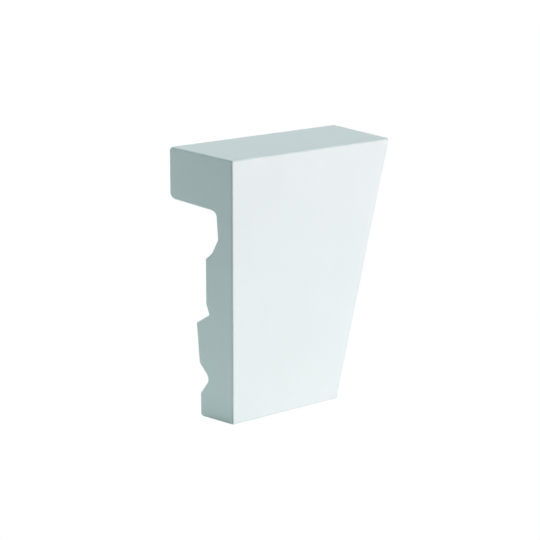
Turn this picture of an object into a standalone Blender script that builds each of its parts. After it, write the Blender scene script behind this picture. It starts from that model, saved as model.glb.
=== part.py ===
"""Keystone that fits over the moulded head of a window or door surround.

It is one moulded solid, a wedge-shaped front plate with a deep block across its head. The block reaches
back to the wall, and below it the plate's back follows the profile of the moulding that it covers. The
plate is thin where the moulding stands out and thick where the moulding steps back.
X runs across the keystone, Y from its front face to the wall and Z up. All lengths are in metres. The
origin is at the underside, in the middle of the width and of the depth.
"""

from math import ceil, copysign, cos, pi, radians, tan

import bmesh
import bpy
from mathutils import Matrix, Vector

# Front face, measured between its sharp corners
foot_width = 0.160
head_width = 0.240

# Block across the head, from the front face back to the wall
block_depth = 0.070
block_height = 0.0507

# Heights of the stretches behind the plate, from the block down, one for each member of the moulding
fillet_height = 0.0263
cove_height = 0.014
splay_height = 0.0065
fascia_height = 0.0425
quirk_height = 0.010
ledge_height = 0.0105
torus_height = 0.038
bead_top_height = 0.0135
bead_bottom_height = 0.0155
foot_height = 0.0225

# Plate thickness where those stretches meet
fillet_top_plate = 0.0185
fillet_bottom_plate = 0.0168
cove_plate = 0.0237
fascia_plate = 0.0305
quirk_plate = 0.0269
torus_top_plate = 0.0413
torus_bottom_plate = 0.0382
bead_plate = 0.0268
foot_plate = 0.0371

# Slopes that let the piece out of its mould, outwards on the sides and upwards under the block
side_draft = radians(2.5)
block_draft = radians(2.6)

# Rounding of the front's edges and both side outlines, and how much rounder the back's corners are
edge_radius = 0.0015
corner_softness = 0.0005

# Rounding of the block, the hollows and the foot along the back
block_top_radius = 0.004
block_under_radius = 0.006
fillet_radius = 0.006
bead_radius = 0.0075
foot_radius = 0.003

# Fineness of the roundings, and the share of a straight stretch that one of them may take up
arc_step = radians(12)
edge_segments = 3
most_reach = 0.45

paint_colour = (0.80, 0.84, 0.84, 1.0)
paint_roughness = 0.55

# Heights above the foot at which the stretches meet
bead_bottom = foot_height
bead_middle = bead_bottom + bead_bottom_height
torus_bottom = bead_middle + bead_top_height
torus_top = torus_bottom + torus_height
quirk_bottom = torus_top + ledge_height
fascia_bottom = quirk_bottom + quirk_height
fascia_top = fascia_bottom + fascia_height
cove_bottom = fascia_top + splay_height
fillet_bottom = cove_bottom + cove_height
block_bottom = fillet_bottom + fillet_height
head = block_bottom + block_height


def profile_corners():
    """Corners of the outline seen from the side, each as depth, height and the radius that rounds it."""
    corner_radius = edge_radius + corner_softness
    block_rise = (block_depth - fillet_top_plate) * tan(block_draft)
    return [
        (0.0, 0.0, 0.0),
        (0.0, head, 0.0),
        (block_depth, head, block_top_radius),
        (block_depth, block_bottom + block_rise, block_under_radius),
        (fillet_top_plate, block_bottom, fillet_radius),
        (fillet_bottom_plate, fillet_bottom, corner_radius),
        (cove_plate, cove_bottom, corner_radius),
        (fascia_plate, fascia_top, corner_radius),
        (fascia_plate, fascia_bottom, corner_radius),
        (quirk_plate, quirk_bottom, corner_radius),
        (torus_top_plate, torus_top, corner_radius),
        (torus_bottom_plate, torus_bottom, corner_radius),
        (bead_plate, bead_middle, bead_radius),
        (foot_plate, bead_bottom, corner_radius),
        (foot_plate, 0.0, foot_radius),
    ]


def rounded(before, corner, after, radius):
    """Points of the arc that rounds a corner, or the corner alone where the radius is nothing."""
    if radius == 0.0:
        return [corner]
    back = before - corner
    ahead = after - corner
    half = back.angle(ahead) / 2
    reach = min(radius / tan(half), back.length * most_reach, ahead.length * most_reach)
    back_way = back.normalized()
    middle_way = (back_way + ahead.normalized()).normalized()
    centre = corner + middle_way * reach / cos(half)
    spoke = corner + back_way * reach - centre
    sweep = pi - 2 * half
    steps = ceil(sweep / arc_step)
    turn = copysign(sweep / steps, ahead.cross(back))
    return [centre + Matrix.Rotation(turn * step, 2) @ spoke for step in range(steps + 1)]


def outline():
    """The whole side outline, as vectors of depth and height."""
    corners = profile_corners()
    places = [Vector(corner[:2]) for corner in corners]
    points = []
    for index, corner in enumerate(corners):
        after = places[(index + 1) % len(places)]
        points += rounded(places[index - 1], places[index], after, corner[2])
    return points


def half_width(depth, height):
    """Distance of a side face from the middle, less towards the foot and more towards the wall."""
    taper = (head_width - foot_width) / 2 / head
    return foot_width / 2 + taper * height + depth * tan(side_draft)


def painted_foam():
    """Matt white paint on moulded foam."""
    material = bpy.data.materials.new("painted_foam")
    material.use_nodes = True
    shader = material.node_tree.nodes["Principled BSDF"]
    shader.inputs["Base Color"].default_value = paint_colour
    shader.inputs["Roughness"].default_value = paint_roughness
    shader.inputs["Metallic"].default_value = 0.0
    material.diffuse_color = paint_colour
    return material


def keystone_mesh():
    """The outline on both tapering sides, joined across, with the edges to be rounded marked."""
    shape = bmesh.new()
    points = outline()
    left, right = (
        [shape.verts.new((side * half_width(*point), point.x - block_depth / 2, point.y)) for point in points]
        for side in (-1, 1)
    )
    side_faces = [shape.faces.new(left), shape.faces.new(right)]
    for index in range(len(points)):
        shape.faces.new((left[index - 1], left[index], right[index], right[index - 1]))
    bmesh.ops.recalc_face_normals(shape, faces=shape.faces)

    weight = shape.edges.layers.float.new("bevel_weight_edge")
    for face in side_faces:
        for edge in face.edges:
            edge[weight] = 1.0
    for index in (0, 1):
        shape.edges.get((left[index], right[index]))[weight] = 1.0

    mesh = bpy.data.meshes.new("keystone")
    shape.to_mesh(mesh)
    shape.free()
    mesh.shade_smooth()
    return mesh


def round_edges(piece):
    """Small rounding of the front's four edges and of both side outlines."""
    bevel = piece.modifiers.new("edges", "BEVEL")
    bevel.limit_method = "WEIGHT"
    bevel.width = edge_radius
    bevel.segments = edge_segments
    bevel.use_clamp_overlap = False
    bevel.harden_normals = True


def build_keystone():
    piece = bpy.data.objects.new("keystone", keystone_mesh())
    bpy.context.scene.collection.objects.link(piece)
    piece.data.materials.append(painted_foam())
    round_edges(piece)


for old in list(bpy.data.objects):
    bpy.data.objects.remove(old, do_unlink=True)
build_keystone()
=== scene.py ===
from math import ceil, copysign, cos, pi, radians, sin, tan

import bmesh
import bpy
from mathutils import Matrix, Vector


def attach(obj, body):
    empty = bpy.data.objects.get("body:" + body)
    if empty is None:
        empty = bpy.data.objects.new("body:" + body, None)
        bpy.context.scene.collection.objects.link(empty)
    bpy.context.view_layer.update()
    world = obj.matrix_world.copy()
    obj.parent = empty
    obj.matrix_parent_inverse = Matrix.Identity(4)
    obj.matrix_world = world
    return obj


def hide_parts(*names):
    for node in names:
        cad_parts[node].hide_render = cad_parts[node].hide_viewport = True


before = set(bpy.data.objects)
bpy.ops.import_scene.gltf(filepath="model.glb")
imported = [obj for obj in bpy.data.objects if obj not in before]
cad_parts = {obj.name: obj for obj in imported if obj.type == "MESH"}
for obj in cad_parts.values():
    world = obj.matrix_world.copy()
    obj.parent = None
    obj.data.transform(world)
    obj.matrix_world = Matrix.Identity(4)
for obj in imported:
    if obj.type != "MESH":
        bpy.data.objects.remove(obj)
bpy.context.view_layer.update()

# Front face of the keystone between its sharp corners, its height and half its depth, in metres
foot_width = 0.160
head_width = 0.240
head_height = 0.250
half_depth = 0.035

# Side outline from the front face round the back: depth behind the front, height above the foot, rounding
side_outline = [
    (0.0, 0.0, 0.0),
    (0.0, head_height, 0.0),
    (0.070, head_height, 0.004),
    (0.070, 0.20164, 0.006),
    (0.0185, 0.1993, 0.006),
    (0.0168, 0.173, 0.002),
    (0.0237, 0.159, 0.002),
    (0.0305, 0.1525, 0.002),
    (0.0305, 0.110, 0.002),
    (0.0269, 0.100, 0.002),
    (0.0413, 0.0895, 0.002),
    (0.0382, 0.0515, 0.002),
    (0.0268, 0.038, 0.0075),
    (0.0371, 0.0225, 0.002),
    (0.0371, 0.0, 0.003),
]
side_draft = radians(2.5)

# Rounding of the edges that the mould leaves, and the fineness of all roundings
edge_radius = 0.0015
edge_segments = 5
arc_step = radians(5)
most_reach = 0.9

# The primer, with real sizes in metres. Spray texture is about 1 mm across and is drawn at 2.4 mm to show
coat_size = 0.045
wave_size = 0.030
wave_height = 0.00006
peel_size = 0.0024
pore_spacing = 0.011
pore_size = 0.0006
roughness_spread = 0.05
acrylic_ior = 1.49

# The range of a noise that is used, because its values seldom lie outside it
noise_low = 0.3
noise_high = 0.7

# Each coat: its colour where thin and where full, roughness, height of the spray texture, depth of the pores
coats = {
    "matt_primer_on_foam": ("#ebf1f1", "#edf3f3", 0.65, 0.000012, 0.00006),
    # The back is hidden once the keystone is up, so it gets a dusting that leaves the foam's skin in sight
    "thin_primer_on_back": ("#e1e5e1", "#e7ebe8", 0.68, 0.000025, 0.00025),
    # The rounded edges get a darker, cooler coat: painted shade, standing in for the dark line along the
    # edges
    "painted_shade_on_edges": ("#dde6e6", "#e5eeee", 0.65, 0.000012, 0.00006),
}
full_coat, thin_back, painted_edge_shade = range(3)

# Where the photograph was taken from, with the lens and its sensor in millimetres
view_azimuth = radians(53.527)
view_elevation = radians(12.900)
view_roll = radians(5.809)
view_distance = 2.7328
view_lens = 197.30
view_sensor = 36.0
view_reach = 100.0
aim_point = Vector((-0.015465, -0.011115, 0.132694))

# Lights: direction round from the front towards the right and height, both in degrees, then distance and
# size in metres, watts and colour
panels = {
    "key": (35, 8, 5.5, 2.4, 289.0, "#fffbfc"),
    "overhead": (0, 89, 3.2, 1.4, 23.0, "#e4fffa"),
    "back": (180, 50, 3.2, 1.4, 59.0, "#f4faff"),
    "left_back": (-140, 8, 1.0, 0.4, 1.75, "#d5fffa"),
}
panel_aim = Vector((0.0, 0.0, 0.13))

# Floor, the patch of it that glows round the keystone, and the white behind everything
floor_size = 40
floor_colour = "#edeeee"
floor_roughness = 0.9
glow_inner = 0.10
glow_outer = 0.45
glow_strength = 0.168
glow_colour = "#ddfff9"
backdrop_colour = "#ffffff"


def linear(colour):
    """Linear red, green, blue and alpha of an sRGB colour written as #rrggbb."""
    shares = [int(colour[place : place + 2], 16) / 255 for place in (1, 3, 5)]
    return [s / 12.92 if s <= 0.04045 else ((s + 0.055) / 1.055) ** 2.4 for s in shares] + [1.0]


def add(tree, kind, settings=(), **links):
    """A node of that kind with its settings, its inputs linked to sockets or set to values."""
    node = tree.nodes.new(kind)
    for name, value in dict(settings).items():
        setattr(node, name, value)
    for name, value in links.items():
        socket = node.inputs[name.replace("_", " ")]
        if isinstance(value, bpy.types.NodeSocket):
            tree.links.new(value, socket)
        else:
            socket.default_value = value
    return node


def empty_material(name):
    """A material without nodes, and its node tree."""
    material = bpy.data.materials.new(name)
    material.use_nodes = True
    material.node_tree.nodes.clear()
    return material, material.node_tree


def rounded(before, corner, after):
    """Points of the arc that rounds a corner. Two roundings share a stretch in the ratio of their radii."""
    place, radius = Vector(corner[:2]), corner[2]
    if radius == 0.0:
        return [place]
    back = Vector(before[:2]) - place
    ahead = Vector(after[:2]) - place
    half = back.angle(ahead) / 2
    reach = min(
        radius / tan(half),
        most_reach * back.length * radius / (radius + before[2]),
        most_reach * ahead.length * radius / (radius + after[2]),
    )
    back_way = back.normalized()
    middle_way = (back_way + ahead.normalized()).normalized()
    centre = place + middle_way * reach / cos(half)
    spoke = place + back_way * reach - centre
    sweep = pi - 2 * half
    steps = ceil(sweep / arc_step)
    turn = copysign(sweep / steps, ahead.cross(back))
    return [centre + Matrix.Rotation(turn * step, 2) @ spoke for step in range(steps + 1)]


def outline():
    """The whole side outline, as vectors of depth and height."""
    points = []
    for index, corner in enumerate(side_outline):
        after = side_outline[(index + 1) % len(side_outline)]
        points += rounded(side_outline[index - 1], corner, after)
    return points


def half_width(depth, height):
    """Distance of a side face from the middle, less towards the foot and more towards the wall."""
    taper = (head_width - foot_width) / 2 / head_height
    return foot_width / 2 + taper * height + depth * tan(side_draft)


def sprayed_primer(name, thin, full, roughness, peel_height, pore_height):
    """Matt acrylic primer, sprayed in one coat on moulded rigid polyurethane foam.

    It gives the eye an even, cool white without gloss. The coat is a shade lighter where it lies thicker,
    its skin has a fine spray texture over the slight waves of the moulding, and a few of the foam's pores
    are open in it.
    """
    material, tree = empty_material(name)
    place = add(tree, "ShaderNodeTexCoord").outputs["Object"]

    coat = add(tree, "ShaderNodeTexNoise", Vector=place, Scale=1 / coat_size, Detail=3.0, Roughness=0.55)
    shade = add(tree, "ShaderNodeValToRGB", Fac=coat.outputs["Fac"])
    for stop, position, colour in zip(shade.color_ramp.elements, (noise_low, noise_high), (thin, full)):
        stop.position = position
        stop.color = linear(colour)

    peel = add(tree, "ShaderNodeTexNoise", Vector=place, Scale=1 / peel_size, Detail=2.0, Roughness=0.5)
    sheen = add(
        tree,
        "ShaderNodeMapRange",
        Value=peel.outputs["Fac"],
        From_Min=noise_low,
        From_Max=noise_high,
        To_Min=roughness - roughness_spread,
        To_Max=roughness + roughness_spread,
    )
    wave = add(tree, "ShaderNodeTexNoise", Vector=place, Scale=1 / wave_size, Detail=1.0)
    pores = add(tree, "ShaderNodeTexVoronoi", Vector=place, Scale=1 / pore_spacing)
    pore = add(
        tree,
        "ShaderNodeMapRange",
        {"interpolation_type": "SMOOTHSTEP"},
        Value=pores.outputs["Distance"],
        From_Max=pore_size / pore_spacing,
    )
    normal = add(tree, "ShaderNodeBump", Height=wave.outputs["Fac"], Distance=wave_height).outputs["Normal"]
    for height, distance in ((peel.outputs["Fac"], peel_height), (pore.outputs["Result"], pore_height)):
        bump = add(tree, "ShaderNodeBump", Height=height, Distance=distance, Normal=normal)
        normal = bump.outputs["Normal"]

    shader = add(
        tree,
        "ShaderNodeBsdfPrincipled",
        Base_Color=shade.outputs["Color"],
        Roughness=sheen.outputs["Result"],
        IOR=acrylic_ior,
        Normal=normal,
    )
    add(tree, "ShaderNodeOutputMaterial", Surface=shader.outputs["BSDF"])
    return material


def keystone_shape():
    """The keystone's mesh, with its side outlines and two front edges marked for rounding."""
    shape = bmesh.new()
    points = outline()
    left, right = (
        [shape.verts.new((side * half_width(*point), point.x - half_depth, point.y)) for point in points]
        for side in (-1, 1)
    )
    side_faces = [shape.faces.new(left), shape.faces.new(right)]
    # The bands that come first are the underside, the front and the top, and all others face the back
    first_bands = range(3)
    for index in range(len(points)):
        band = shape.faces.new((left[index - 1], left[index], right[index], right[index - 1]))
        band.material_index = full_coat if index in first_bands else thin_back
    bmesh.ops.recalc_face_normals(shape, faces=shape.faces)
    weight = shape.edges.layers.float.new("bevel_weight_edge")
    for face in side_faces:
        for edge in face.edges:
            edge[weight] = 1.0
    for index in (0, 1):
        shape.edges.get((left[index], right[index]))[weight] = 1.0
    mesh = bpy.data.meshes.new("keystone_moulding")
    shape.to_mesh(mesh)
    shape.free()
    mesh.shade_smooth()
    return mesh


def build_keystone():
    piece = bpy.data.objects.new("keystone_moulding", keystone_shape())
    bpy.context.scene.collection.objects.link(piece)
    for name, coat in coats.items():
        piece.data.materials.append(sprayed_primer(name, *coat))
    bevel = piece.modifiers.new("edges", "BEVEL")
    bevel.limit_method = "WEIGHT"
    bevel.width = edge_radius
    bevel.segments = edge_segments
    bevel.use_clamp_overlap = False
    bevel.harden_normals = True
    # The darker coat on the rounded edges is painted shade
    bevel.material = painted_edge_shade
    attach(piece, "root")
    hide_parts("keystone")


def seen_by_camera(tree):
    """One where the camera looks and nothing where light bounces, so the backdrop's white lights nothing."""
    return add(tree, "ShaderNodeLightPath").outputs["Is Camera Ray"]


def build_floor():
    """A plain floor that glows round the keystone, as if lit from below, and shows the camera white."""
    material, tree = empty_material("pale_floor")
    place = add(tree, "ShaderNodeTexCoord").outputs["Object"]
    distance = add(tree, "ShaderNodeVectorMath", {"operation": "LENGTH"}, Vector=place)
    glow = add(
        tree,
        "ShaderNodeMapRange",
        {"interpolation_type": "SMOOTHSTEP"},
        Value=distance.outputs["Value"],
        From_Min=glow_inner,
        From_Max=glow_outer,
        To_Min=glow_strength,
        To_Max=0.0,
    )
    lit = add(
        tree,
        "ShaderNodeBsdfPrincipled",
        Base_Color=linear(floor_colour),
        Roughness=floor_roughness,
        Emission_Color=linear(glow_colour),
        Emission_Strength=glow.outputs["Result"],
    )
    white = add(tree, "ShaderNodeEmission", Color=linear(backdrop_colour))
    shown = add(tree, "ShaderNodeMixShader", Fac=seen_by_camera(tree))
    tree.links.new(lit.outputs["BSDF"], shown.inputs[1])
    tree.links.new(white.outputs["Emission"], shown.inputs[2])
    add(tree, "ShaderNodeOutputMaterial", Surface=shown.outputs["Shader"])
    bpy.ops.mesh.primitive_plane_add(size=floor_size)
    floor = bpy.context.object
    floor.name = "floor"
    floor.data.materials.append(material)


def build_lights():
    """Soft panels round the keystone, out of the camera's sight, before a white backdrop."""
    world = bpy.data.worlds.new("studio")
    world.use_nodes = True
    tree = world.node_tree
    backdrop = tree.nodes["Background"].inputs
    backdrop["Color"].default_value = linear(backdrop_colour)
    tree.links.new(seen_by_camera(tree), backdrop["Strength"])
    bpy.context.scene.world = world
    for name, (azimuth, elevation, distance, size, power, colour) in panels.items():
        light = bpy.data.lights.new(name, "AREA")
        light.size = size
        light.energy = power
        light.color = linear(colour)[:3]
        around, above = radians(azimuth), radians(elevation)
        way = Vector((sin(around) * cos(above), -cos(around) * cos(above), sin(above)))
        lamp = bpy.data.objects.new(name, light)
        lamp.location = panel_aim + way * distance
        lamp.rotation_euler = (-way).to_track_quat("-Z", "Y").to_euler()
        lamp.visible_camera = False
        bpy.context.scene.collection.objects.link(lamp)


def build_camera():
    """The camera that took the photograph: left of the front, a little above, and turned about its axis."""
    forward = Vector(
        (
            sin(view_azimuth) * cos(view_elevation),
            cos(view_azimuth) * cos(view_elevation),
            -sin(view_elevation),
        )
    )
    level = Vector((cos(view_azimuth), -sin(view_azimuth), 0.0))
    upright = level.cross(forward)
    right = level * cos(view_roll) + upright * sin(view_roll)
    up = upright * cos(view_roll) - level * sin(view_roll)
    turned = Matrix((right, up, -forward)).transposed().to_4x4()
    data = bpy.data.cameras.new("camera")
    data.lens = view_lens
    data.sensor_width = view_sensor
    data.clip_end = view_reach
    camera = bpy.data.objects.new("camera", data)
    camera.matrix_world = Matrix.Translation(aim_point - forward * view_distance) @ turned
    bpy.context.scene.collection.objects.link(camera)
    bpy.context.scene.camera = camera


build_keystone()
build_floor()
build_lights()
build_camera()
bpy.context.scene.view_settings.view_transform = "Standard"
